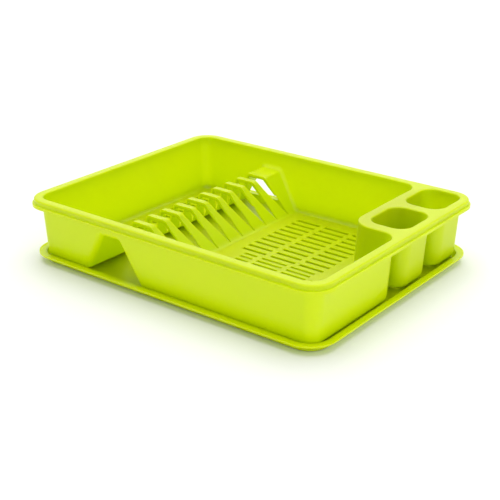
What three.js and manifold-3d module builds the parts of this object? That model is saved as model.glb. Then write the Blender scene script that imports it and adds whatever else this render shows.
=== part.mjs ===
// Dish drying rack: a moulded plastic drainer that stands in a shallow drip tray and lifts out of it.
// Millimetres, +Z up. The origin is on the table, under the middle of the rack; +X runs along the long side
// to the right and -Y is the long front side. The drainer is one moulding in real life. Here it is built from
// its walls, rims, floor panels, plate fins and cutlery pots, each a simple solid, with a small gap between.
import * as THREE from "three";
import { mergeVertices } from "three/addons/utils/BufferGeometryUtils.js";
import Module from "manifold-3d";

// Overall size, over the bead of the rim.
const LENGTH = 480;
const WIDTH = 378.5;
const HEIGHT = 90;
const SHEET = 2.3; // wall thickness of both mouldings
const GAP = 0.3; // clearance between neighbouring solids

// Rim: a flat band with a skirt that ends in a bead.
const RIM_CORNER_R = 38;
const BEAD = 1; // how far the bead stands out from the skirt
const BEAD_TOP = 83.5;
const SKIRT_BOTTOM = 79;
const BAND_BOTTOM = HEIGHT - SHEET;

// Basket walls lean inwards on their way down.
const DRAFT = 0.0577; // inward lean per millimetre of depth
const WALL_INSET = 12.5; // outer wall face, in from the bead, at the height of the rim
const WALL_BOTTOM = 2.3;
const WALL_TOP = BAND_BOTTOM - GAP;
const WALL_CORNER_R = 20;
const FLOOR_TOP = 6.6;
const FLOOR_BOTTOM = FLOOR_TOP - SHEET;
const FLOOR_CORNER_R = 14;

// Corner bay for the cutlery pots, at the back on the right.
const BAY_LEFT = 156.3; // wall faces towards the pots, at the height of the rim
const BAY_FRONT = 4;
const BAY_CORNER_R = 22; // basket side
const BAY_FILLET_R = 12;

// Cutlery pots.
const POT_LENGTH = 75; // along Y, outside
const POT_WIDTH = 61; // along X, outside
const POT_X = 196;
const POT_FRONT_Y = 54.5;
const POT_PITCH = 86;
const POT_CORNER_R = 22;
const POT_WALL = 2;
const POT_BOTTOM = 6;
const POT_SLOTS = 4;
const POT_SLOT = { length: 30, width: 4, pitch: 13 };

// Plate ridge: a folded sheet over a tunnel, cut into fins by slots that sweep back on their way down.
const RIDGE_X = -93.5;
const RIDGE_TOP = 64;
const RIDGE_HALF_TOP = 15.5;
const RIDGE_HALF_FOOT = 49;
const RIDGE_SHEET = 2.5;
const FINS = 9;
const FIN_PITCH = 27.4;
const FIN_SHIFT = -0.8; // the row of fins stands this far off the middle
const FIN_TOP_WIDTH = 8;
const FIN_LEAN = 18.5; // how far back a fin's front edge is at the foot of the slots
const SLOT_FOOT = 7; // height of the narrow end of a slot
const SLOT_END = 2; // width of a slot there

// Drain slots of the floor, which run along X: columns [from, to], then rows from the back forwards.
const DRAIN_WIDTH = 4.6;
const DRAINS = [
  { columns: [[-203, -163]], first: 137.3, pitch: 14.45, rows: 20 },
  { columns: [[-23, 17.5], [25, 66.5], [73, 112]], first: 141, pitch: 14.45, rows: 10 },
  { columns: [[-9, 12.5], [20, 61.5], [68, 107]], first: -2.2, pitch: 10.9, rows: 14 },
  { columns: [[114, 155], [161, 200]], first: -24, pitch: 10.9, rows: 12 },
];

// Drip tray.
const TRAY = {
  length: 477, width: 375.4, cornerR: 38, top: 13.3, floor: 2, flange: 2.3, wall: 3.2, inset: 7,
};
const LIME = { skin: 0xb9d40f, tray: 0xb1cc0c };

const wasm = await Module();
wasm.setup();

// A closed three.js geometry as a manifold solid.
function solid(geometry) {
  const bare = geometry.index ? geometry.toNonIndexed() : geometry.clone();
  bare.deleteAttribute("normal");
  bare.deleteAttribute("uv");
  const merged = mergeVertices(bare, 1e-4);
  const vertProperties = merged.attributes.position.array;
  const triVerts = new Uint32Array(merged.index.array);
  return new wasm.Manifold(new wasm.Mesh({ numProp: 3, vertProperties, triVerts }));
}

// A manifold solid as a three.js geometry with flat faces.
function geometryOf(body) {
  const mesh = body.getMesh();
  const geometry = new THREE.BufferGeometry();
  geometry.setAttribute("position", new THREE.BufferAttribute(mesh.vertProperties, 3));
  geometry.setIndex(new THREE.BufferAttribute(mesh.triVerts, 1));
  const flat = geometry.toNonIndexed();
  flat.computeVertexNormals();
  return flat;
}

function box(x0, x1, y0, y1, z0, z1) {
  const geometry = new THREE.BoxGeometry(x1 - x0, y1 - y0, z1 - z0);
  geometry.translate((x0 + x1) / 2, (y0 + y1) / 2, (z0 + z1) / 2);
  return solid(geometry);
}

// Adds a rectangle with round corners to a Shape or a Path.
function addRoundRect(path, x0, x1, y0, y1, r) {
  path.moveTo(x0 + r, y0);
  path.lineTo(x1 - r, y0);
  path.absarc(x1 - r, y0 + r, r, -Math.PI / 2, 0, false);
  path.lineTo(x1, y1 - r);
  path.absarc(x1 - r, y1 - r, r, 0, Math.PI / 2, false);
  path.lineTo(x0 + r, y1);
  path.absarc(x0 + r, y1 - r, r, Math.PI / 2, Math.PI, false);
  path.lineTo(x0, y0 + r);
  path.absarc(x0 + r, y0 + r, r, Math.PI, Math.PI * 1.5, false);
  return path;
}

function roundRect(length, width, r) {
  return addRoundRect(new THREE.Shape(), -length / 2, length / 2, -width / 2, width / 2, r);
}

function extrudeZ(shape, z0, z1, curveSegments = 8) {
  const geometry = new THREE.ExtrudeGeometry(shape, { depth: z1 - z0, bevelEnabled: false, curveSegments });
  geometry.translate(0, 0, z0);
  return geometry;
}

function polygon(points) {
  return new THREE.Shape(points.map(([u, v]) => new THREE.Vector2(u, v)));
}

// A prism along X whose outline is given in (y, z).
function prismX(points, x0, x1) {
  const geometry = extrudeZ(polygon(points), x0, x1);
  geometry.applyMatrix4(new THREE.Matrix4().makeBasis(
    new THREE.Vector3(0, 1, 0), new THREE.Vector3(0, 0, 1), new THREE.Vector3(1, 0, 0)));
  return geometry;
}

// A prism along Y whose outline is given in (x, z).
function prismY(points, y0, y1) {
  const geometry = extrudeZ(polygon(points), -y1, -y0);
  geometry.rotateX(Math.PI / 2);
  return geometry;
}

// Leans the sides of an upright rounded block inwards on the way down, about the block's core rectangle.
function draft(geometry, x0, x1, y0, y1, r, top) {
  const place = geometry.attributes.position;
  for (let i = 0; i < place.count; i += 1) {
    const x = place.getX(i);
    const y = place.getY(i);
    const coreX = THREE.MathUtils.clamp(x, x0 + r, x1 - r);
    const coreY = THREE.MathUtils.clamp(y, y0 + r, y1 - r);
    const reach = Math.hypot(x - coreX, y - coreY);
    const scale = reach > 0 ? (reach - (top - place.getZ(i)) * DRAFT) / reach : 1;
    place.setXY(i, coreX + (x - coreX) * scale, coreY + (y - coreY) * scale);
  }
  return geometry;
}

const lean = (z) => (HEIGHT - z) * DRAFT;

const rack = new THREE.Group();

function add(name, shape, color) {
  const material = new THREE.MeshStandardMaterial({ color, roughness: 0.32, metalness: 0 });
  const mesh = new THREE.Mesh(shape.getMesh ? geometryOf(shape) : shape, material);
  mesh.name = name;
  rack.add(mesh);
}

// Drip tray: floor, low wall and a flange all round.
function addTray() {
  const length = TRAY.length - TRAY.inset * 2;
  const width = TRAY.width - TRAY.inset * 2;
  const r = TRAY.cornerR - TRAY.inset;
  const block = solid(extrudeZ(roundRect(length, width, r), 0, TRAY.top - TRAY.flange / 2));
  const edge = roundRect(TRAY.length, TRAY.width, TRAY.cornerR);
  const flange = solid(extrudeZ(edge, TRAY.top - TRAY.flange, TRAY.top));
  const inside = roundRect(length - TRAY.wall * 2, width - TRAY.wall * 2, r - TRAY.wall);
  const hollow = solid(extrudeZ(inside, TRAY.floor, TRAY.top + 1));
  add("drip_tray", block.add(flange).subtract(hollow), LIME.tray);
}

// The rim's band, skirt and bead as a full ring, before it is cut into lengths.
function rimRing() {
  const upperLength = LENGTH - BEAD * 2;
  const upperWidth = WIDTH - BEAD * 2;
  const upperR = RIM_CORNER_R - BEAD;
  const upper = solid(extrudeZ(roundRect(upperLength, upperWidth, upperR), SKIRT_BOTTOM, HEIGHT));
  const bead = solid(extrudeZ(roundRect(LENGTH, WIDTH, RIM_CORNER_R), SKIRT_BOTTOM, BEAD_TOP));
  const under = roundRect(upperLength - SHEET * 2, upperWidth - SHEET * 2, upperR - SHEET);
  const inset = WALL_INSET + SHEET;
  const mouth = roundRect(LENGTH - inset * 2, WIDTH - inset * 2, WALL_CORNER_R - SHEET);
  const hollow = solid(extrudeZ(under, SKIRT_BOTTOM - 1, BAND_BOTTOM));
  return upper.add(bead).subtract(hollow).subtract(solid(extrudeZ(mouth, BAND_BOTTOM - 1, HEIGHT + 1)));
}

const CORNER_X = LENGTH / 2 - RIM_CORNER_R;
const CORNER_Y = WIDTH / 2 - RIM_CORNER_R;
const FAR = LENGTH;
const DECK_LEFT = BAY_LEFT - SHEET;
const DECK_FRONT = BAY_FRONT - SHEET;
const DECK_NOSE = DECK_FRONT - BAY_FILLET_R; // where the deck's front fillet has run into the right rim

function addRims() {
  const ring = rimRing();
  const cut = (x0, x1, y0, y1) => ring.intersect(box(x0, x1, y0, y1, SKIRT_BOTTOM - 1, HEIGHT + 1));
  const x = CORNER_X;
  const y = CORNER_Y;
  add("rim_front", cut(-x, x, -FAR, 0), LIME.skin);
  add("rim_back", cut(-x, DECK_LEFT - GAP, 0, FAR), LIME.skin);
  add("rim_left", cut(-FAR, 0, -y, y), LIME.skin);
  add("rim_right", cut(0, FAR, -y, DECK_NOSE - GAP), LIME.skin);
  add("rim_corner_front_left", cut(-FAR, -x - GAP, -FAR, -y - GAP), LIME.skin);
  add("rim_corner_front_right", cut(x + GAP, FAR, -FAR, -y - GAP), LIME.skin);
  add("rim_corner_back_left", cut(-FAR, -x - GAP, y + GAP, FAR), LIME.skin);
}

function potSpan(index) {
  const y = POT_FRONT_Y + POT_PITCH * index;
  return [POT_X - POT_WIDTH / 2, POT_X + POT_WIDTH / 2, y - POT_LENGTH / 2, y + POT_LENGTH / 2];
}

// Deck that carries the two pots, with the skirt of the rim behind it and on its right.
function addDeck() {
  const outline = new THREE.Shape();
  const right = LENGTH / 2 - BEAD;
  const back = WIDTH / 2 - BEAD;
  const innerRight = LENGTH / 2 - WALL_INSET - SHEET;
  const r = RIM_CORNER_R - BEAD;
  outline.moveTo(DECK_LEFT + BAY_CORNER_R, DECK_FRONT);
  outline.lineTo(innerRight - BAY_FILLET_R, DECK_FRONT);
  outline.absarc(innerRight - BAY_FILLET_R, DECK_NOSE, BAY_FILLET_R, Math.PI / 2, 0, true);
  outline.lineTo(right, DECK_NOSE);
  outline.lineTo(right, back - r);
  outline.absarc(right - r, back - r, r, 0, Math.PI / 2, false);
  outline.lineTo(DECK_LEFT, back);
  outline.lineTo(DECK_LEFT, DECK_FRONT + BAY_CORNER_R);
  const bayRound = [DECK_LEFT + BAY_CORNER_R, DECK_FRONT + BAY_CORNER_R, BAY_CORNER_R];
  outline.absarc(...bayRound, Math.PI, Math.PI * 1.5, false);
  for (const index of [0, 1]) {
    const [x0, x1, y0, y1] = potSpan(index);
    const w = POT_WALL;
    outline.holes.push(addRoundRect(new THREE.Path(), x0 + w, x1 - w, y0 + w, y1 - w, POT_CORNER_R - w));
  }
  const plate = solid(extrudeZ(outline, BAND_BOTTOM, HEIGHT));
  const ring = rimRing();
  const skirt = ring.intersect(box(DECK_LEFT, FAR, DECK_NOSE, FAR, SKIRT_BOTTOM - 1, BAND_BOTTOM + 1));
  const innerBack = WIDTH / 2 - WALL_INSET;
  const inner = box(DECK_LEFT - 1, innerRight + 1, DECK_NOSE - 1, innerBack, BAND_BOTTOM - 2, HEIGHT);
  add("pot_deck", skirt.subtract(inner).add(plate), LIME.skin);
}

// Cutlery pots: tapered cups with drain slots in the bottom.
function addPots() {
  const names = ["cutlery_pot_front", "cutlery_pot_rear"];
  names.forEach((name, index) => {
    const [x0, x1, y0, y1] = potSpan(index);
    const top = BAND_BOTTOM - GAP;
    const w = POT_WALL;
    const outer = extrudeZ(addRoundRect(new THREE.Shape(), x0, x1, y0, y1, POT_CORNER_R), POT_BOTTOM, top, 5);
    const inside = addRoundRect(new THREE.Shape(), x0 + w, x1 - w, y0 + w, y1 - w, POT_CORNER_R - w);
    const hollow = extrudeZ(inside, POT_BOTTOM + w, top + 1, 5);
    draft(outer, x0, x1, y0, y1, POT_CORNER_R, top);
    draft(hollow, x0, x1, y0, y1, POT_CORNER_R, top);
    let cup = solid(outer).subtract(solid(hollow));
    for (let k = 0; k < POT_SLOTS; k += 1) {
      const y = (y0 + y1) / 2 + (k - (POT_SLOTS - 1) / 2) * POT_SLOT.pitch;
      const x = POT_SLOT.length / 2;
      const half = POT_SLOT.width / 2;
      cup = cup.subtract(box(POT_X - x, POT_X + x, y - half, y + half, POT_BOTTOM - 1, POT_BOTTOM + w + 1));
    }
    add(name, cup, LIME.skin);
  });
}

// Section of a wall, as [distance outwards, height], for an outer face that is at `face` at the rim's height.
function wallSection(face) {
  const foot = face - lean(WALL_BOTTOM);
  const head = face - lean(WALL_TOP);
  return [[foot - SHEET, WALL_BOTTOM], [foot, WALL_BOTTOM], [head, WALL_TOP], [head - SHEET, WALL_TOP]];
}

const mirrored = (section) => section.map(([u, z]) => [-u, z]);

// A quarter of a leaning corner wall. `bulge` is +1 on a corner of the basket and -1 around the pot bay.
function cornerWall(x, y, radius, quadrantX, quadrantY, bulge = 1) {
  const across = (u) => (bulge > 0 ? u : radius * 2 - u - SHEET);
  const section = wallSection(radius).map(([u, z]) => new THREE.Vector2(across(u), z));
  if (bulge < 0) section.reverse();
  section.push(section[0].clone());
  const ring = new THREE.LatheGeometry(section, 32);
  ring.rotateX(Math.PI / 2);
  const reach = radius + HEIGHT * DRAFT + SHEET;
  const spanX = quadrantX > 0 ? [GAP, reach] : [-reach, -GAP];
  const spanY = quadrantY > 0 ? [GAP, reach] : [-reach, -GAP];
  const quarter = solid(ring).intersect(box(...spanX, ...spanY, 0, HEIGHT));
  return quarter.translate([x, y, 0]);
}

// The open end of the tunnel under the plate ridge, as an outline in (x, z).
function tunnelOutline(foot) {
  const run = (RIDGE_HALF_FOOT - RIDGE_HALF_TOP) / (RIDGE_TOP - FLOOR_BOTTOM);
  const side = RIDGE_SHEET * Math.hypot(1, run);
  const halfTop = RIDGE_HALF_TOP + run * RIDGE_SHEET - side;
  const halfFoot = RIDGE_HALF_FOOT + run * (FLOOR_BOTTOM - foot) - side;
  const top = RIDGE_TOP - RIDGE_SHEET;
  const feet = [[RIDGE_X - halfFoot, foot], [RIDGE_X + halfFoot, foot]];
  return [...feet, [RIDGE_X + halfTop, top], [RIDGE_X - halfTop, top]];
}

function addWalls() {
  const sideX = LENGTH / 2 - WALL_INSET;
  const sideY = WIDTH / 2 - WALL_INSET;
  const cx = sideX - WALL_CORNER_R;
  const cy = sideY - WALL_CORNER_R;
  const bayX = BAY_LEFT - WALL_CORNER_R;
  const bayY = BAY_FRONT - WALL_CORNER_R;
  const noseX = DECK_LEFT + BAY_CORNER_R;
  const noseY = DECK_FRONT + BAY_CORNER_R;
  const arch = solid(prismY(tunnelOutline(-1), -WIDTH / 2, WIDTH / 2));
  add("wall_left", solid(prismY(mirrored(wallSection(sideX)).reverse(), -cy, cy)), LIME.skin);
  add("wall_right", solid(prismY(wallSection(sideX), -cy, bayY)), LIME.skin);
  add("wall_front", solid(prismX(mirrored(wallSection(sideY)).reverse(), -cx, cx)).subtract(arch), LIME.skin);
  add("wall_back", solid(prismX(wallSection(sideY), -cx, bayX)).subtract(arch), LIME.skin);
  add("wall_bay_front", solid(prismX(wallSection(BAY_FRONT), noseX, cx)), LIME.skin);
  add("wall_bay_left", solid(prismY(wallSection(BAY_LEFT), noseY, cy)), LIME.skin);
  add("wall_corner_front_left", cornerWall(-cx, -cy, WALL_CORNER_R, -1, -1), LIME.skin);
  add("wall_corner_front_right", cornerWall(cx, -cy, WALL_CORNER_R, 1, -1), LIME.skin);
  add("wall_corner_back_left", cornerWall(-cx, cy, WALL_CORNER_R, -1, 1), LIME.skin);
  add("wall_corner_right_end", cornerWall(cx, bayY, WALL_CORNER_R, 1, 1), LIME.skin);
  add("wall_corner_back_end", cornerWall(bayX, cy, WALL_CORNER_R, 1, 1), LIME.skin);
  add("wall_corner_bay", cornerWall(noseX, noseY, BAY_CORNER_R, -1, -1, -1), LIME.skin);
}

// The drain slots that reach into a floor panel, as [x0, x1, y].
function drainsIn(x0, x1) {
  const slots = [];
  for (const { columns, first, pitch, rows } of DRAINS) {
    for (const [from, to] of columns.filter(([left, right]) => right > x0 && left < x1)) {
      for (let row = 0; row < rows; row += 1) slots.push([from, to, first - row * pitch]);
    }
  }
  return slots;
}

function addFloor(name, x0, x1, y0, y1) {
  const outline = addRoundRect(new THREE.Shape(), x0, x1, y0, y1, FLOOR_CORNER_R);
  const half = DRAIN_WIDTH / 2;
  let panel = solid(extrudeZ(outline, FLOOR_BOTTOM, FLOOR_TOP));
  for (const [from, to, y] of drainsIn(x0, x1)) {
    panel = panel.subtract(box(from, to, y - half, y + half, FLOOR_BOTTOM - 1, FLOOR_TOP + 1));
  }
  add(name, panel, LIME.skin);
}

function addFloors() {
  const insideX = LENGTH / 2 - WALL_INSET - SHEET - lean(FLOOR_BOTTOM) - GAP;
  const insideY = WIDTH / 2 - WALL_INSET - SHEET - lean(FLOOR_BOTTOM) - GAP;
  const ridgeLeft = RIDGE_X - RIDGE_HALF_FOOT - GAP;
  const ridgeRight = RIDGE_X + RIDGE_HALF_FOOT + GAP;
  const bayLeft = DECK_LEFT - lean(FLOOR_BOTTOM) - GAP;
  const bayFront = DECK_FRONT - lean(FLOOR_BOTTOM) - GAP;
  addFloor("floor_left", -insideX, ridgeLeft, -insideY, insideY);
  addFloor("floor_middle", ridgeRight, bayLeft, -insideY, insideY);
  addFloor("floor_right", bayLeft + GAP, insideX, -insideY, bayFront);
}

// The folded sheet of the ridge, as a closed outline in (x, z).
function ridgeSection() {
  const inner = tunnelOutline(FLOOR_BOTTOM);
  return [
    [RIDGE_X - RIDGE_HALF_FOOT, FLOOR_BOTTOM], inner[0], inner[3], inner[2], inner[1],
    [RIDGE_X + RIDGE_HALF_FOOT, FLOOR_BOTTOM], [RIDGE_X + RIDGE_HALF_TOP, RIDGE_TOP],
    [RIDGE_X - RIDGE_HALF_TOP, RIDGE_TOP],
  ];
}

// A fin's front edge and back edge in (y, z), each from the foot up, about the middle of the fin's top.
function finEdges() {
  const half = FIN_TOP_WIDTH / 2;
  const head = RIDGE_TOP + 1;
  const foot = FIN_LEAN - half;
  const next = foot + FIN_PITCH;
  const front = [[foot, 0], [foot, SLOT_FOOT], [-half, RIDGE_TOP], [-half, head]];
  const toe = [[next - GAP, 0], [next - GAP, SLOT_FOOT], [next - SLOT_END, SLOT_FOOT]];
  const back = [...toe, [half, RIDGE_TOP], [half, head]];
  return { front, back };
}

// Middle of a fin's top; the two ends of the ridge count as fin 0 and the one after the last.
const finY = (k) => (k - (FINS + 1) / 2) * FIN_PITCH + FIN_SHIFT;
const RIDGE_SPAN = [RIDGE_X - RIDGE_HALF_FOOT - 1, RIDGE_X + RIDGE_HALF_FOOT + 1];

// The fins: pieces of the folded sheet, narrow on top and nearly a full pitch wide at the foot.
function addFins() {
  const { front, back } = finEdges();
  const outline = [...front, ...back.reverse()];
  const sheet = solid(prismY(ridgeSection(), -FIN_PITCH * 2, FIN_PITCH * 2));
  const fin = sheet.intersect(solid(prismX(outline, ...RIDGE_SPAN)));
  for (let k = 1; k <= FINS; k += 1) {
    add(`plate_fin_${k}`, geometryOf(fin).translate(0, finY(k), 0), LIME.skin);
  }
}

// The two ends of the ridge, where the sheet runs unslotted into the front and back walls.
function addRidgeEnds() {
  const face = WIDTH / 2 - WALL_INSET - SHEET - GAP;
  const head = RIDGE_TOP + 1;
  const { front, back } = finEdges();
  const sheet = solid(prismY(ridgeSection(), -WIDTH / 2, WIDTH / 2));
  const frontOutline = [[-face + lean(head), head], [-face + lean(0), 0]];
  frontOutline.push(...back.map(([y, z]) => [y + finY(0), z]));
  const backOutline = front.map(([y, z]) => [y + finY(FINS + 1), z]);
  backOutline.push([face - lean(head), head], [face - lean(0), 0]);
  add("ridge_end_front", sheet.intersect(solid(prismX(frontOutline, ...RIDGE_SPAN))), LIME.skin);
  add("ridge_end_back", sheet.intersect(solid(prismX(backOutline, ...RIDGE_SPAN))), LIME.skin);
}

addTray();
addRims();
addDeck();
addPots();
addWalls();
addFloors();
addFins();
addRidgeEnds();

export default rack;
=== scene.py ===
"""Dish drying rack: a moulded drainer with plate fins and two cutlery pots, standing in a shallow drip tray.

Both mouldings are modelled as one sheet each, in millimetres, and given their wall thickness at the end.
The origin is on the table under the middle of the rack, +X runs to the right and -Y is the long front side.
"""

import logging
import math
from collections.abc import Callable, Iterable
from dataclasses import dataclass, field
from enum import Enum

import bmesh
import bpy
from bmesh.types import BMEdge, BMesh, BMFace, BMVert
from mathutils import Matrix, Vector

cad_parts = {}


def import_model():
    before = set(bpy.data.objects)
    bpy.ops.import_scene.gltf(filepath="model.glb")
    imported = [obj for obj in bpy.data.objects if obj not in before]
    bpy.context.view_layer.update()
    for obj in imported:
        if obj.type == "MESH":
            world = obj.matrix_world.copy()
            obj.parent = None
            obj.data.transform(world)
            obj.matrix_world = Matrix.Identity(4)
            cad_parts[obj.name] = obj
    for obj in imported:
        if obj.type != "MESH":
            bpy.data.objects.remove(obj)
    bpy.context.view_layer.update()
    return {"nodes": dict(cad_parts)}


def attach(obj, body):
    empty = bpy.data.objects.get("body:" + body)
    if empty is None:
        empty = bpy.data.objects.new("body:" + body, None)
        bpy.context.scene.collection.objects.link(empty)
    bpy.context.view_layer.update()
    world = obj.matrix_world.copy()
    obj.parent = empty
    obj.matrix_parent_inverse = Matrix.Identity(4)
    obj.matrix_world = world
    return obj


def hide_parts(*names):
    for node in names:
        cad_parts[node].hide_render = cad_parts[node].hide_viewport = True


log = logging.getLogger("dish_rack")

MM = 0.001
HAIR = 0.001  # the smallest inset, in millimetres, that still splits a face's border
WELD = 0.02  # vertices closer than this, in millimetres, become one
SQUARE = 0.99  # a face with this much of its unit normal along an axis counts as square to the axis
RIM_STEPS = 14  # straight pieces in each rounded corner of an outer edge
MOUTH_STEPS = 10  # the same for the openings in the band


# ---------------------------------------------------------------------------
# Shared mesh and node helpers
# ---------------------------------------------------------------------------


@dataclass(frozen=True)
class Corner:
    """One corner of a plan outline, in millimetres, with the radius it is rounded to."""

    x: float
    y: float
    radius: float


def rectangle(x0: float, x1: float, y0: float, y1: float, radius: float) -> list[Corner]:
    """The four corners of a rectangle, anticlockwise, all with one radius."""
    return [Corner(x0, y0, radius), Corner(x1, y0, radius), Corner(x1, y1, radius), Corner(x0, y1, radius)]


def plan_face(bm: BMesh, corners: list[Corner], z: float, segments: int) -> BMFace:
    """Adds a flat face with rounded corners.

    Args:
        bm: The mesh the face goes into.
        corners: Right-angled corners, anticlockwise seen from above.
        z: Height of the face.
        segments: Straight pieces in each rounded corner.

    Returns:
        The new face, which looks up.
    """
    verts = [bm.verts.new((c.x, c.y, z)) for c in corners]
    bm.faces.new(verts)
    made: list[BMVert] = verts
    for vert, corner in zip(verts, corners):
        made = bmesh.ops.bevel(
            bm, geom=[vert], offset=corner.radius, offset_type="OFFSET", affect="VERTICES",
            segments=segments, profile=0.5, material=-1, clamp_overlap=False,
        )["verts"]
    face = made[0].link_faces[0]
    face.normal_update()
    return face


def step_in(bm: BMesh, face: BMFace, path: Iterable[tuple[float, float]]) -> None:
    """Draws a wall along a profile: the face shrinks and moves, and leaves a ring of faces behind each time.

    Args:
        bm: The mesh that holds the face.
        face: A flat level face.
        path: Points of the profile as (distance inwards, height) from where the face is now.
    """
    last_inset, last_rise = 0.0, 0.0
    for inset, rise in path:
        bmesh.ops.inset_region(
            bm, faces=[face], thickness=max(inset - last_inset, HAIR), use_boundary=True, use_even_offset=True
        )
        bmesh.ops.translate(bm, verts=face.verts, vec=(0, 0, rise - last_rise))
        face.normal_update()
        last_inset, last_rise = inset, rise


def turn_down(radius: float, segments: int) -> list[tuple[float, float]]:
    """Profile that leaves a level sheet and turns to point straight down."""
    angles = [math.pi / 2 * i / segments for i in range(1, segments + 1)]
    return [(radius * math.sin(a), -radius * (1 - math.cos(a))) for a in angles]


def turn_level(radius: float, segments: int, sign: int) -> list[tuple[float, float]]:
    """Profile that leaves an upright wall and turns inwards to level, from below (+1) or from above (-1)."""
    angles = [math.pi / 2 * i / segments for i in range(1, segments + 1)]
    return [(radius * (1 - math.cos(a)), sign * radius * math.sin(a)) for a in angles]


def shifted(path: Iterable[tuple[float, float]], inset: float, rise: float) -> list[tuple[float, float]]:
    """The same profile, started from another point."""
    return [(u + inset, z + rise) for u, z in path]


def parts_of(faces: Iterable[BMFace]) -> list[BMFace | BMEdge | BMVert]:
    """The faces with their edges and vertices, each once, as a cut needs them."""
    geom: dict[BMFace | BMEdge | BMVert, None] = {}
    for face in faces:
        geom[face] = None
        for item in (*face.edges, *face.verts):
            geom[item] = None
    return list(geom)


def is_level(face: BMFace, height: float) -> bool:
    """Whether a face lies flat at one height."""
    return abs(face.normal.z) > SQUARE and all(abs(v.co.z - height) < WELD for v in face.verts)


def cut(bm: BMesh, faces: Iterable[BMFace], point: tuple[float, float, float],
        normal: tuple[float, float, float], clear_outer: bool = False) -> None:
    """Cuts the faces with a plane, and clears what is on the normal's side if that is asked for."""
    bmesh.ops.bisect_plane(
        bm, geom=parts_of(faces), dist=1e-4, plane_co=point, plane_no=normal, clear_outer=clear_outer
    )
    bm.normal_update()


def drop_faces(bm: BMesh, chosen: Callable[[BMFace], bool]) -> None:
    """Deletes the faces that a test picks, with the edges that only they used."""
    bmesh.ops.delete(bm, geom=[f for f in bm.faces if chosen(f)], context="FACES")


def face_up(bm: BMesh, faces: Iterable[BMFace], towards: tuple[float, float, float]) -> None:
    """Turns round those of the faces that look away from a direction."""
    direction = Vector(towards)
    for face in faces:
        face.normal_update()
    bmesh.ops.reverse_faces(bm, faces=[f for f in faces if f.normal.dot(direction) < 0])


def object_from(bm: BMesh, name: str) -> bpy.types.Object:
    """Makes a smooth-shaded object at the origin from a mesh in millimetres.

    Args:
        bm: The finished mesh, which is freed.
        name: Name of the object and of its mesh.

    Returns:
        The object, linked into the scene.
    """
    bmesh.ops.scale(bm, verts=bm.verts, vec=(MM, MM, MM))
    for face in bm.faces:
        face.smooth = True
    mesh = bpy.data.meshes.new(name)
    bm.to_mesh(mesh)
    bm.free()
    made = bpy.data.objects.new(name, mesh)
    bpy.context.scene.collection.objects.link(made)
    return made


def give_thickness(piece: bpy.types.Object, sheet: float, edge: float) -> None:
    """Turns a sheet into a moulded wall: thickness behind the shown face, then softly rounded edges.

    Args:
        piece: The sheet.
        sheet: Wall thickness in millimetres.
        edge: Width in millimetres of the rounding on its edges.
    """
    wall = piece.modifiers.new("wall", "SOLIDIFY")
    wall.thickness = sheet * MM
    wall.offset = -1
    wall.use_even_offset = True
    wall.use_quality_normals = True
    soft = piece.modifiers.new("soft_edges", "BEVEL")
    soft.width = edge * MM
    soft.segments = 2
    soft.limit_method = "ANGLE"
    soft.angle_limit = math.radians(50)
    soft.use_clamp_overlap = True
    piece.modifiers.new("even_shading", "WEIGHTED_NORMAL")


def add_node(tree: bpy.types.NodeTree, kind: str, links: dict[str, bpy.types.NodeSocket] | None = None,
             values: dict[str, object] | None = None, **settings: object) -> bpy.types.Node:
    """Adds a node with its settings and links.

    Args:
        tree: The tree it goes into.
        kind: Blender's name for the type of node.
        links: Output sockets of other nodes, by the name of the input they feed.
        values: Values of unlinked inputs, by name.
        **settings: Properties of the node itself.

    Returns:
        The node.
    """
    node = tree.nodes.new(kind)
    for key, value in settings.items():
        setattr(node, key, value)
    for key, value in (values or {}).items():
        node.inputs[key].default_value = value
    for key, socket in (links or {}).items():
        tree.links.new(socket, node.inputs[key])
    return node


def linear(code: str) -> tuple[float, float, float, float]:
    """An sRGB hex colour as the linear colour that a shader takes."""
    parts = [int(code[i:i + 2], 16) / 255 for i in (1, 3, 5)]
    r, g, b = (c / 12.92 if c <= 0.04045 else ((c + 0.055) / 1.055) ** 2.4 for c in parts)
    return (r, g, b, 1.0)


# ---------------------------------------------------------------------------
# Finishes
# ---------------------------------------------------------------------------


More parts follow.
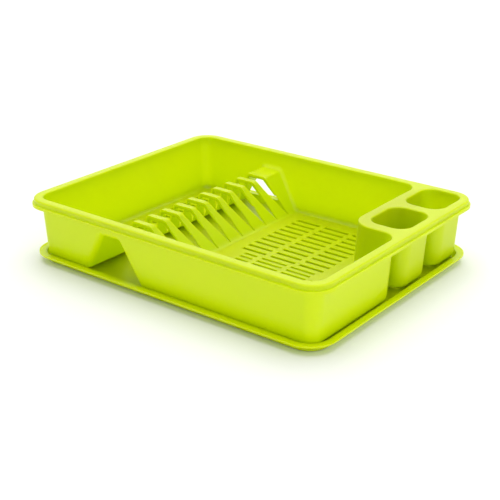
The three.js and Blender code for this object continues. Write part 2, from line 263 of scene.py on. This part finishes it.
@dataclass(frozen=True)
class MouldedPolypropylene:
    """Injection-moulded polypropylene, coloured through.

    To the eye it is a soft waxy shine over a glow from within: light travels through the thin walls, so that
    their shaded sides stay bright. The tool leaves a faint unevenness, which breaks up the shine.
    """

    name: str
    colour: str = "#CFE600"
    deep: str = "#C8E000"
    roughness: tuple[float, float] = (0.33, 0.41)  # satin, from the smoothest specks to the dullest
    cloud_mm: float = 70.0  # over this length the colour drifts from one shade to the other
    peel_mm: float = 2.2  # orange peel is nearer 0.5 mm; drawn coarser so that it still breaks up the shine
    peel_depth_mm: float = 0.012
    bleed_mm: float = 10.0  # how far light travels inside; well over the 2.3 mm wall, so that walls glow through

    def build(self) -> bpy.types.Material:
        """Makes the material.

        Returns:
            A node material in Object coordinates.
        """
        material = bpy.data.materials.new(self.name)
        material.use_nodes = True
        tree = material.node_tree
        tree.nodes.clear()
        where = add_node(tree, "ShaderNodeTexCoord")
        cloud = add_node(
            tree, "ShaderNodeTexNoise", {"Vector": where.outputs["Object"]},
            {"Scale": 1 / (self.cloud_mm * MM), "Detail": 2.0, "Roughness": 0.5},
        )
        tint = add_node(
            tree, "ShaderNodeMix", {"Factor": cloud.outputs["Fac"]}, data_type="RGBA", blend_type="MIX"
        )
        tint.inputs[6].default_value = linear(self.deep)
        tint.inputs[7].default_value = linear(self.colour)
        peel = add_node(
            tree, "ShaderNodeTexNoise", {"Vector": where.outputs["Object"]},
            {"Scale": 1 / (self.peel_mm * MM), "Detail": 3.0, "Roughness": 0.55},
        )
        shine = add_node(
            tree, "ShaderNodeMapRange", {"Value": peel.outputs["Fac"]},
            {"From Min": 0.3, "From Max": 0.7, "To Min": self.roughness[0], "To Max": self.roughness[1]},
        )
        bump = add_node(
            tree, "ShaderNodeBump", {"Height": peel.outputs["Fac"]},
            {"Strength": 0.35, "Distance": self.peel_depth_mm * MM},
        )
        skin = add_node(
            tree, "ShaderNodeBsdfPrincipled",
            {"Base Color": tint.outputs[2], "Roughness": shine.outputs["Result"], "Normal": bump.outputs["Normal"]},
            {"IOR": 1.49, "Metallic": 0.0, "Subsurface Weight": 1.0, "Subsurface Scale": self.bleed_mm * MM,
             "Subsurface Radius": (1.0, 1.0, 0.15), "Specular IOR Level": 0.3},
        )
        add_node(tree, "ShaderNodeOutputMaterial", {"Surface": skin.outputs["BSDF"]})
        return material


# One lime for both mouldings; each has a finish of its own, so that either can be given another colour.
DRAINER_FINISH = MouldedPolypropylene("lime_polypropylene_moulded")
TRAY_FINISH = MouldedPolypropylene("lime_polypropylene_tray")


# ---------------------------------------------------------------------------
# Drainer
# ---------------------------------------------------------------------------


@dataclass(frozen=True)
class SlotField:
    """A block of drain slots in equal rows, each slot running along X."""

    columns: tuple[tuple[float, float], ...]
    first_y: float
    pitch: float
    rows: int
    width: float = 6.0

    def centres(self) -> list[float]:
        """Y of the middle of each row."""
        return [self.first_y - self.pitch * row for row in range(self.rows)]

    def cut_from(self, bm: BMesh, level: float) -> None:
        """Cuts the slots out of the level faces at one height.

        Args:
            bm: The mesh that holds the floor.
            level: Height of the floor.
        """
        half = self.width / 2
        x0, x1 = self.columns[0][0], self.columns[-1][1]
        y0, y1 = self.centres()[-1] - half, self.centres()[0] + half

        def flat(face: BMFace) -> bool:
            """Whether a face is part of the floor."""
            return is_level(face, level)

        def inside(face: BMFace) -> bool:
            """Whether a face of the floor is inside the block of slots."""
            middle = face.calc_center_median()
            return flat(face) and x0 < middle.x < x1 and y0 < middle.y < y1

        def in_slot(face: BMFace) -> bool:
            """Whether a face of the floor is inside a slot."""
            middle = face.calc_center_median()
            in_row = any(abs(middle.y - y) < half for y in self.centres())
            in_column = any(a < middle.x < b for a, b in self.columns)
            return inside(face) and in_row and in_column

        for x in (x0, x1):
            cut(bm, filter(flat, list(bm.faces)), (x, 0, 0), (1, 0, 0))
        for y in (y0, y1):
            cut(bm, filter(flat, list(bm.faces)), (0, y, 0), (0, 1, 0))
        for x in [x for column in self.columns for x in column][1:-1]:
            cut(bm, filter(inside, list(bm.faces)), (x, 0, 0), (1, 0, 0))
        for y in [y + side * half for y in self.centres() for side in (-1, 1)]:
            cut(bm, filter(inside, list(bm.faces)), (0, y, 0), (0, 1, 0))
        drop_faces(bm, in_slot)


@dataclass(frozen=True)
class RimSizes:
    """The rim: a bead at the foot of a short skirt, and a level band on top."""

    length: float = 480.0
    width: float = 378.5
    top: float = 90.0
    corner_radius: float = 33.0
    skirt_foot: float = 79.0
    bead_top: float = 82.6
    bead_out: float = 2.3
    bead_slope: float = 0.5
    lean: float = 0.2  # how far the skirt leans in above the bead
    edge_radius: float = 2.2

    def skirt_profile(self) -> list[tuple[float, float]]:
        """From the foot of the bead up, over the outer edge, to the level band."""
        ledge = self.bead_top - self.skirt_foot
        start = self.top - self.edge_radius - self.skirt_foot
        inset = self.bead_out + self.lean
        return [(0.0, ledge), (self.bead_out, ledge + self.bead_slope), (inset, start),
                *shifted(turn_level(self.edge_radius, 5, 1), inset, start)]


@dataclass(frozen=True)
class BasketSizes:
    """The deep basket, L-shaped in plan around the bay for the cutlery pots."""

    half_length: float = 225.2  # inner wall faces, as if the walls ran up to the height of the rim
    half_width: float = 174.45
    bay_left: float = 154.0
    bay_front: float = 1.7
    corner_radius: float = 18.0
    bay_corner_radius: float = 30.0
    bay_fillet: float = 21.0
    lip_radius: float = 2.0
    draft: float = 0.0577  # inward lean per millimetre of depth
    floor: float = 6.6
    floor_fillet: float = 6.5
    wall_zone: float = 150.0  # the long walls stand further from the middle than this

    def mouth(self) -> list[Corner]:
        """Outline of the mouth where the band starts to turn down."""
        lip = self.lip_radius
        x0, x1 = -self.half_length - lip, self.half_length + lip
        y0, y1 = -self.half_width - lip, self.half_width + lip
        bay_x, bay_y = self.bay_left + lip, self.bay_front + lip
        r = self.corner_radius + lip
        return [Corner(x0, y0, r), Corner(x1, y0, r), Corner(x1, bay_y, self.bay_fillet + lip),
                Corner(bay_x, bay_y, self.bay_corner_radius - lip), Corner(bay_x, y1, self.bay_fillet + lip),
                Corner(x0, y1, r)]

    def wall_profile(self, top: float) -> list[tuple[float, float]]:
        """From the band over the lip and down the leaning wall to the floor."""
        depth = top - self.floor
        return turn_down(self.lip_radius, 4) + [(self.lip_radius + depth * self.draft, -depth)]


@dataclass(frozen=True)
class PotSizes:
    """A tapered cutlery pot that hangs from the deck beside the basket."""

    x: float = 196.0
    y: float = 54.6
    length: float = 70.6  # inside, along Y, at the height of the rim
    width: float = 56.6  # inside, along X
    corner_radius: float = 19.0
    lip_radius: float = 2.0
    draft: float = 0.0577
    floor: float = 8.4
    floor_fillet: float = 5.0
    slot_length: float = 30.0
    slot_width: float = 4.0
    slot_pitch: float = 13.0
    slot_rows: int = 4
    first_slot_y: float = 73.5

    def mouth(self) -> list[Corner]:
        """Outline of the mouth where the deck starts to turn down."""
        half_x = self.width / 2 + self.lip_radius
        half_y = self.length / 2 + self.lip_radius
        return rectangle(self.x - half_x, self.x + half_x, self.y - half_y, self.y + half_y,
                         self.corner_radius + self.lip_radius)

    def slots(self) -> SlotField:
        """The drain slots in the floor of the pot."""
        column = (self.x - self.slot_length / 2, self.x + self.slot_length / 2)
        return SlotField((column,), self.first_slot_y, self.slot_pitch, self.slot_rows, self.slot_width)

    def profile(self, top: float) -> list[tuple[float, float]]:
        """From the deck over the lip, down the wall and round to the bottom."""
        depth = top - self.floor - self.floor_fillet
        foot = self.lip_radius + depth * self.draft
        return (turn_down(self.lip_radius, 4) + [(foot, -depth)]
                + shifted(turn_level(self.floor_fillet, 4, -1), foot, -depth))


class Side(Enum):
    """The long walls of the basket, by the sign of their Y."""

    FRONT = -1
    BACK = 1


@dataclass(frozen=True)
class RidgeSizes:
    """The plate ridge: the floor folded up into a tunnel, and slotted into fins."""

    x: float = -93.5
    top: float = 64.0
    half_top: float = 15.7
    half_foot: float = 48.3  # at the height of the floor
    bend: float = 3.2
    pitch: float = 27.4
    shift: float = -0.8  # how far the row of fins stands off the middle
    slots: int = 10
    fin_top: float = 8.0
    lean_back: float = 18.5  # how far back the front edge of a fin has moved by the time it reaches the foot
    slot_foot: float = 8.3
    foot_width: float = 2.2
    curve_steps: int = 4
    curve_power: float = 1.1  # 1 would make the edges of the fins straight
    lip_depth: float = 4.7
    lip_full: float = 5.0  # how far below the top of a fin its lip starts to fade
    lip_reach: float = 29.0  # how far below the top of a fin its lip has faded out

    def fin_y(self, index: int) -> float:
        """Y of the middle of a fin's top; the ends of the ridge count as the first and the last fin."""
        return (index - self.slots / 2) * self.pitch + self.shift

    def share(self, z: float) -> float:
        """How far down the slope a height is, from 0 at the top to 1 at the foot of the slots."""
        return min(max((self.top - z) / (self.top - self.slot_foot), 0.0), 1.0)

    def sweep(self, top_y: float, foot_y: float, z: float) -> float:
        """Y at a height of an edge that sweeps back from the top to the foot of the slots.

        Args:
            top_y: Where the edge is at the top.
            foot_y: Where it is at the foot.
            z: The height.

        Returns:
            The place on the curve, which is drawn in a few straight steps.
        """
        along = self.share(z) * self.curve_steps
        step = min(int(along), self.curve_steps - 1)
        here, there = ((i / self.curve_steps) ** self.curve_power for i in (step, step + 1))
        return top_y + (foot_y - top_y) * (here + (there - here) * (along - step))

    def far_side(self, slot: int, z: float) -> float:
        """Y of the back side of a slot: the front edge of the fin behind it."""
        top_y = self.fin_y(slot + 1) - self.fin_top / 2
        return self.sweep(top_y, top_y + self.lean_back, z)

    def near_side(self, slot: int, z: float) -> float:
        """Y of the front side of a slot: the back edge of the fin in front of it."""
        top_y = self.fin_y(slot) + self.fin_top / 2
        return self.sweep(top_y, self.far_side(slot, self.slot_foot) - self.foot_width, z)

    def knots(self, side: Callable[[int, float], float], slot: int) -> list[tuple[float, float]]:
        """Corners (y, z) of one side of a slot, from the top down."""
        drop = (self.top - self.slot_foot) / self.curve_steps
        heights = [self.top - drop * step for step in range(self.curve_steps + 1)]
        return [(side(slot, z), z) for z in heights]

    def in_slot(self, y: float, z: float) -> bool:
        """Whether a point seen from the side is inside a slot."""
        if z < self.slot_foot:
            return False
        return any(self.near_side(i, z) < y < self.far_side(i, z) for i in range(self.slots))


@dataclass
class Drainer:
    """The drainer: rim, basket, pots, slotted floor and plate ridge in one moulding."""

    name: str = "drainer_moulding"
    sheet: float = 2.3
    soft_edge: float = 0.55
    rim: RimSizes = field(default_factory=RimSizes)
    basket: BasketSizes = field(default_factory=BasketSizes)
    pots: tuple[PotSizes, ...] = (PotSizes(), PotSizes(y=141.2, first_slot_y=160.7))
    ridge: RidgeSizes = field(default_factory=RidgeSizes)
    drains: tuple[SlotField, ...] = (
        SlotField(((-203.0, -163.0),), first_y=137.3, pitch=14.45, rows=20),
        SlotField(((-23.0, 17.5), (25.0, 66.5), (73.0, 112.0)), first_y=141.0, pitch=14.45, rows=10),
        SlotField(((-9.0, 12.5), (20.0, 61.5), (68.0, 107.0)), first_y=-2.2, pitch=10.9, rows=14, width=5.2),
        SlotField(((114.0, 155.0), (161.0, 211.0)), first_y=-24.0, pitch=10.9, rows=12, width=5.2),
    )

    def build(self, finish: bpy.types.Material) -> bpy.types.Object:
        """Builds and dresses the moulding.

        Args:
            finish: Material of the whole moulding.

        Returns:
            The finished piece.
        """
        bm = bmesh.new()
        self._add_rim_and_band(bm)
        self._join_ridge(bm)
        self._round_creases(bm)
        self._cut_fins(bm)
        self._add_fin_lips(bm)
        for drain in self.drains:
            drain.cut_from(bm, self.basket.floor)
        for pot in self.pots:
            pot.slots().cut_from(bm, pot.floor)
        piece = object_from(bm, self.name)
        give_thickness(piece, self.sheet, self.soft_edge)
        piece.data.materials.append(finish)
        return piece

    def _add_rim_and_band(self, bm: BMesh) -> None:
        """Adds the skirt and the band, with the basket's walls and the pots hanging from the band's openings.

        Args:
            bm: The empty mesh of the moulding.
        """
        rim = self.rim
        ring = rectangle(-rim.length / 2, rim.length / 2, -rim.width / 2, rim.width / 2, rim.corner_radius)
        top = plan_face(bm, ring, rim.skirt_foot, RIM_STEPS)
        step_in(bm, top, rim.skirt_profile())
        border = list(top.edges)
        bmesh.ops.delete(bm, geom=[top], context="FACES_ONLY")
        mouths = [plan_face(bm, hollow.mouth(), rim.top, MOUTH_STEPS) for hollow in (self.basket, *self.pots)]
        edges = border + [edge for mouth in mouths for edge in mouth.edges]
        band = bmesh.ops.triangle_fill(bm, use_beauty=True, edges=edges, normal=(0, 0, 1))["geom"]
        face_up(bm, [f for f in band if isinstance(f, BMFace)], (0, 0, 1))
        step_in(bm, mouths[0], self.basket.wall_profile(rim.top))
        for mouth, pot in zip(mouths[1:], self.pots):
            step_in(bm, mouth, pot.profile(rim.top))

    def _long_wall(self, bm: BMesh, side: Side) -> BMFace:
        """The large flat face of a long wall of the basket, seen from inside."""
        facing = [
            f for f in bm.faces
            if f.normal.y * side.value < -SQUARE and f.calc_center_median().y * side.value > self.basket.wall_zone
        ]
        return max(facing, key=lambda f: f.calc_area())

    def _floor_faces(self, bm: BMesh) -> list[BMFace]:
        """The level faces of the basket's floor."""
        return [f for f in bm.faces if is_level(f, self.basket.floor)]

    def _join_ridge(self, bm: BMesh) -> None:
        """Opens the floor and both long walls where the ridge runs, and joins the folded sheet in.

        Args:
            bm: The mesh, with the floor and the walls.
        """
        ridge = self.ridge
        bm.normal_update()
        walls = {side: self._long_wall(bm, side) for side in Side}
        planes = {side: (walls[side].verts[0].co.copy(), walls[side].normal.copy()) for side in Side}
        sides = (ridge.x - ridge.half_foot, ridge.x + ridge.half_foot)
        for x in sides:
            cut(bm, self._floor_faces(bm) + self._panels(bm), (x, 0, 0), (1, 0, 0))
        crossed = {*self._floor_faces(bm), *self._panels(bm)}

        def under_ridge(face: BMFace) -> bool:
            """Whether a face of the floor or of a long wall is in the ridge's way."""
            return face in crossed and abs(face.calc_center_median().x - ridge.x) < ridge.half_foot

        def is_seam(edge: BMEdge) -> bool:
            """Whether an edge is an upright cut left in a flat wall beside the ridge."""
            a, b = (v.co for v in edge.verts)
            upright = abs(a.x - b.x) < WELD and abs(a.z - b.z) > self.rim.top / 2
            beside = min(abs(a.x - x) for x in sides) < WELD
            return upright and beside and len(edge.link_faces) == 2 and edge.calc_face_angle() < 0.01

        drop_faces(bm, under_ridge)
        self._add_folded_sheet(bm, planes)
        bmesh.ops.remove_doubles(bm, verts=bm.verts, dist=WELD)
        for side, (point, normal) in planes.items():
            hole = [
                e for e in bm.edges
                if e.is_boundary and all(abs((v.co - point).dot(normal)) < WELD for v in e.verts)
            ]
            made = bmesh.ops.contextual_create(bm, geom=hole)["faces"]
            face_up(bm, made, (0, -side.value, 0))
        bm.normal_update()
        bmesh.ops.dissolve_edges(bm, edges=[e for e in bm.edges if is_seam(e)], use_verts=False)

    def _panels(self, bm: BMesh) -> list[BMFace]:
        """The large flat faces of both long walls, in as many pieces as they have now."""
        tall = self.rim.top * 0.6
        return [
            f for f in bm.faces
            if abs(f.normal.y) > SQUARE and abs(f.calc_center_median().y) > self.basket.wall_zone
            and max(v.co.z for v in f.verts) - min(v.co.z for v in f.verts) > tall
        ]

    def _add_folded_sheet(self, bm: BMesh, planes: dict[Side, tuple[Vector, Vector]]) -> None:
        """The ridge from wall to wall, as an open sheet.

        Args:
            bm: The mesh it is added to.
            planes: A point and the inward normal of each long wall.
        """
        ridge = self.ridge
        level = self.basket.floor
        start = -self.rim.width / 2
        outline = [(ridge.x - ridge.half_foot, level), (ridge.x + ridge.half_foot, level),
                   (ridge.x + ridge.half_top, ridge.top), (ridge.x - ridge.half_top, ridge.top)]
        verts = [bm.verts.new((x, start, z)) for x, z in outline]
        bm.faces.new(verts)
        made: list[BMVert] = verts
        for vert in verts[2:]:
            made = bmesh.ops.bevel(
                bm, geom=[vert], offset=ridge.bend, offset_type="OFFSET", affect="VERTICES",
                segments=4, profile=0.5, material=-1, clamp_overlap=False,
            )["verts"]
        end = made[0].link_faces[0]
        grown = bmesh.ops.extrude_face_region(bm, geom=[end])["geom"]
        bmesh.ops.translate(
            bm, verts=[v for v in grown if isinstance(v, BMVert)], vec=(0, self.rim.width, 0)
        )
        bm.normal_update()
        island = self._island(next(f for f in grown if isinstance(f, BMFace)))
        middle = Vector((ridge.x, 0, level))
        for face in island:
            if face.normal.dot(face.calc_center_median() - middle) < 0:
                face.normal_flip()
        caps = [f for f in island if abs(f.normal.y) > SQUARE or is_level(f, level)]
        bmesh.ops.delete(bm, geom=caps, context="FACES")

        def of_sheet(face: BMFace) -> bool:
            """Whether a face is a strip of the sheet, the only faces left over the opened floor."""
            middle = face.calc_center_median()
            return abs(middle.x - ridge.x) < ridge.half_foot and abs(middle.y) < ridge.pitch

        for point, normal in planes.values():
            cut(bm, filter(of_sheet, list(bm.faces)), tuple(point), tuple(-normal), clear_outer=True)

    @staticmethod
    def _island(start: BMFace) -> list[BMFace]:
        """All the faces joined to one face."""
        found, queue = {start}, [start]
        while queue:
            for edge in queue.pop().edges:
                for face in edge.link_faces:
                    if face not in found:
                        found.add(face)
                        queue.append(face)
        return list(found)

    def _round_creases(self, bm: BMesh) -> None:
        """Rounds the creases where walls, floor and ridge meet, and with them the mouths of the tunnel.

        Args:
            bm: The mesh, with the ridge in it.
        """
        sharp = [
            e for e in bm.edges
            if len(e.link_faces) == 2 and e.calc_face_angle() > math.radians(40)
            and max(v.co.z for v in e.verts) < self.ridge.top + 1
            and all(self._in_basket(v) for v in e.verts)
        ]
        bmesh.ops.bevel(
            bm, geom=sharp, offset=self.basket.floor_fillet, offset_type="OFFSET", affect="EDGES",
            segments=5, profile=0.5, material=-1, clamp_overlap=False,
        )
        bm.normal_update()

    def _in_basket(self, vert: BMVert) -> bool:
        """Whether a vertex belongs to the basket rather than to a pot."""
        basket = self.basket
        return vert.co.x < basket.bay_left + WELD or vert.co.y < basket.bay_front + WELD

    def _cut_fins(self, bm: BMesh) -> None:
        """Cuts the slots across the ridge, which leaves the fins standing.

        Args:
            bm: The mesh, with its creases rounded.
        """
        ridge = self.ridge
        reach = ridge.half_foot + 12.0  # past the fillet along the foot
        above = self.basket.floor + 0.3  # leaves the level floor out

        def of_ridge(face: BMFace) -> bool:
            """Whether a face belongs to the ridge or to a fillet beside it."""
            middle = face.calc_center_median()
            return abs(middle.x - ridge.x) < reach and middle.z > above

        cut(bm, filter(of_ridge, list(bm.faces)), (0, 0, ridge.slot_foot), (0, 0, 1))
        for slot in range(ridge.slots):
            low = ridge.fin_y(slot)
            high = ridge.far_side(slot, ridge.slot_foot) + 1

            def near(face: BMFace) -> bool:
                """Whether a face of the ridge reaches the slot."""
                ys = [v.co.y for v in face.verts]
                return of_ridge(face) and max(ys) > low and min(ys) < high

            edges = [ridge.knots(side, slot) for side in (ridge.near_side, ridge.far_side)]
            lines = [line for knots in edges for line in zip(knots, knots[1:])]
            for (y0, z0), (y1, z1) in lines:
                cut(bm, filter(near, list(bm.faces)), (0, y0, z0), (0, z1 - z0, y0 - y1))

        def chosen(face: BMFace) -> bool:
            """Whether a face of the ridge is inside a slot."""
            middle = face.calc_center_median()
            return of_ridge(face) and ridge.in_slot(middle.y, middle.z)

        drop_faces(bm, chosen)
        bm.normal_update()

    def _add_fin_lips(self, bm: BMesh) -> None:
        """Turns the front edge of each fin down into a stiffening lip that fades out below the bend.

        Args:
            bm: The mesh, with the fins cut.
        """
        ridge = self.ridge
        low, high = ridge.top - ridge.lip_reach, ridge.top - ridge.lip_full
        least = self.sheet + 0.1  # where a lip has faded out it ends just behind the sheet

        def on_front(vert: BMVert) -> bool:
            """Whether a vertex is on the front edge of a fin."""
            return abs(vert.co.x - ridge.x) < ridge.half_foot and any(
                abs(vert.co.y - ridge.far_side(i, vert.co.z)) < 0.1 for i in range(ridge.slots)
            )

        edges = [
            e for e in bm.edges
            if e.is_boundary and min(v.co.z for v in e.verts) > low and all(on_front(v) for v in e.verts)
        ]
        inward = {tuple(round(c, 3) for c in v.co): v.normal.copy() for e in edges for v in e.verts}
        grown = bmesh.ops.extrude_edge_only(bm, edges=edges)["geom"]
        for vert in (v for v in grown if isinstance(v, BMVert)):
            normal = inward[tuple(round(c, 3) for c in vert.co)]
            share = min(max((vert.co.z - low) / (high - low), 0.0), 1.0)
            vert.co -= normal * (least + (ridge.lip_depth - self.sheet) * share)
        face_up(bm, [f for f in grown if isinstance(f, BMFace)], (0, -1, 0))


@dataclass
class DrainerFeet:
    """Low pads under the floor of the drainer, which keep it off the tray."""

    name: str = "drainer_feet"
    radius: float = 6.0
    taper: float = 0.6
    edge_round: float = 0.5
    bottom: float = 2.1
    top: float = 4.8
    places: tuple[tuple[float, float], ...] = (
        (-205.0, -155.0), (-205.0, 155.0), (-20.0, -155.0), (-20.0, 155.0), (205.0, -155.0), (130.0, 155.0),
        (205.0, -15.0),
    )

    def build(self, finish: bpy.types.Material) -> bpy.types.Object:
        """Builds and dresses the pads.

        Args:
            finish: Material of the pads.

        Returns:
            The finished piece.
        """
        bm = bmesh.new()
        for x, y in self.places:
            pad = bmesh.ops.create_cone(
                bm, cap_ends=True, segments=24, radius1=self.radius - self.taper, radius2=self.radius,
                depth=self.top - self.bottom,
            )["verts"]
            bmesh.ops.translate(bm, verts=pad, vec=(x, y, (self.top + self.bottom) / 2))
        ends = [e for e in bm.edges if e.calc_face_angle() > 1]
        bmesh.ops.bevel(
            bm, geom=ends, offset=self.edge_round, affect="EDGES", segments=2, profile=0.5, material=-1
        )
        piece = object_from(bm, self.name)
        piece.data.materials.append(finish)
        return piece


# ---------------------------------------------------------------------------
# Drip tray
# ---------------------------------------------------------------------------


@dataclass
class DripTray:
    """The shallow tray: a level flange with a raised edge, leaning sides and a flat floor."""

    name: str = "drip_tray_moulding"
    length: float = 477.0
    width: float = 375.4
    corner_radius: float = 38.0
    top: float = 13.3
    floor: float = 2.3
    sheet: float = 2.3
    soft_edge: float = 0.6
    edge_width: float = 1.3
    edge_height: float = 0.7
    edge_slope: float = 0.5
    flange: float = 10.2  # width of the flange with its raised edge
    bend: float = 1.0
    side_lean: float = 2.0
    foot_bend: float = 3.0

    def profile(self) -> list[tuple[float, float]]:
        """From the top of the raised edge over the flange, down the leaning side, to the floor."""
        drop = self.floor - self.top
        edge = [(self.edge_width, 0.0), (self.edge_width + self.edge_slope, -self.edge_height)]
        side = self.flange + self.side_lean
        shoulder = shifted([(0.0, 0.0), *turn_down(self.bend, 3)], self.flange - self.bend, -self.edge_height)
        return [*edge, *shoulder, (side, drop + self.foot_bend),
                *shifted(turn_level(self.foot_bend, 3, -1), side, drop + self.foot_bend)]

    def build(self, finish: bpy.types.Material) -> bpy.types.Object:
        """Builds and dresses the tray.

        Args:
            finish: Material of the tray.

        Returns:
            The finished piece.
        """
        bm = bmesh.new()
        half_x, half_y = self.length / 2, self.width / 2
        ring = rectangle(-half_x, half_x, -half_y, half_y, self.corner_radius)
        face = plan_face(bm, ring, self.top, RIM_STEPS)
        step_in(bm, face, self.profile())
        piece = object_from(bm, self.name)
        give_thickness(piece, self.sheet, self.soft_edge)
        piece.data.materials.append(finish)
        return piece


# ---------------------------------------------------------------------------
# Studio
# ---------------------------------------------------------------------------


@dataclass(frozen=True)
class Softbox:
    """A square soft light that points at the rack."""

    name: str
    place: tuple[float, float, float]
    size: float
    power: float

    def build(self) -> None:
        """Hangs the light."""
        lamp = bpy.data.lights.new(self.name, "AREA")
        lamp.shape = "SQUARE"
        lamp.size = self.size
        lamp.energy = self.power
        holder = bpy.data.objects.new(self.name, lamp)
        holder.location = self.place
        aim = Vector((0, 0, 0.04)) - Vector(self.place)
        holder.rotation_euler = aim.to_track_quat("-Z", "Y").to_euler()
        bpy.context.scene.collection.objects.link(holder)


@dataclass(frozen=True)
class Studio:
    """Pale floor, soft light and the camera."""

    sky: float = 0.6
    floor_half: float = 6.0
    floor_gap_mm: float = 0.2  # between the tray and the floor, so that their faces don't coincide
    lights: tuple[Softbox, ...] = (
        Softbox("key_softbox", (1.9, -0.5, 1.0), 1.2, 6.0),
        Softbox("back_softbox", (-1.8, 2.3, 1.25), 2.4, 12.0),
        Softbox("ceiling_softbox", (-0.6, 1.2, 8.0), 9.0, 430.0),
    )
    lens: float = 77.3
    eye: tuple[float, float, float] = (0.8229, -1.0641, 0.5859)
    looks_back_along: tuple[float, float, float] = (0.5634, -0.7271, 0.3922)

    def build(self) -> None:
        """Sets up everything around the rack."""
        self._add_floor()
        self._light_sky()
        for light in self.lights:
            light.build()
        self._add_camera()
        bpy.context.scene.view_settings.view_transform = "Standard"

    def _add_floor(self) -> None:
        """A plain pale sheet just under the tray."""
        bm = bmesh.new()
        bmesh.ops.create_grid(bm, x_segments=1, y_segments=1, size=self.floor_half / MM)
        bmesh.ops.translate(bm, verts=bm.verts, vec=(0, 0, -self.floor_gap_mm))
        floor = object_from(bm, "studio_floor")
        paper = bpy.data.materials.new("white_paper_backdrop")
        paper.use_nodes = True
        tree = paper.node_tree
        tree.nodes.clear()
        # Matt paper: no shine, near-white all over.
        skin = add_node(
            tree, "ShaderNodeBsdfPrincipled", values={"Base Color": linear("#FDFDFC"), "Roughness": 0.9}
        )
        add_node(tree, "ShaderNodeOutputMaterial", {"Surface": skin.outputs["BSDF"]})
        floor.data.materials.append(paper)

    def _light_sky(self) -> None:
        """Even white light from all round."""
        world = bpy.data.worlds.new("studio_white")
        world.use_nodes = True
        tree = world.node_tree
        tree.nodes.clear()
        sky = add_node(
            tree, "ShaderNodeBackground", values={"Color": linear("#FFFFFF"), "Strength": self.sky}
        )
        add_node(tree, "ShaderNodeOutputWorld", {"Surface": sky.outputs["Background"]})
        bpy.context.scene.world = world

    def _add_camera(self) -> None:
        """A long lens from the front right, a little above the rim."""
        lens = bpy.data.cameras.new("studio_camera")
        lens.lens = self.lens
        lens.sensor_width = 36.0
        camera = bpy.data.objects.new("studio_camera", lens)
        camera.location = self.eye
        camera.rotation_euler = (-Vector(self.looks_back_along)).to_track_quat("-Z", "Y").to_euler()
        bpy.context.scene.collection.objects.link(camera)
        bpy.context.scene.camera = camera


def main() -> None:
    """Builds the rack piece by piece around the frame, then the studio."""
    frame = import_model()
    drainer_nodes = sorted(name for name in frame["nodes"] if name != "drip_tray")
    plastic = DRAINER_FINISH.build()

    tray = DripTray().build(TRAY_FINISH.build())
    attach(tray, "tray")
    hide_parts("drip_tray")
    log.info("drip tray: %d faces", len(tray.data.polygons))

    drainer = Drainer().build(plastic)
    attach(drainer, "drainer")
    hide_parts(*drainer_nodes)
    log.info("drainer: %d faces", len(drainer.data.polygons))

    feet = DrainerFeet().build(plastic)
    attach(feet, "drainer")
    log.info("feet: %d faces", len(feet.data.polygons))

    Studio().build()


if __name__ == "__main__":
    logging.basicConfig(level=logging.INFO, format="%(message)s")
    main()
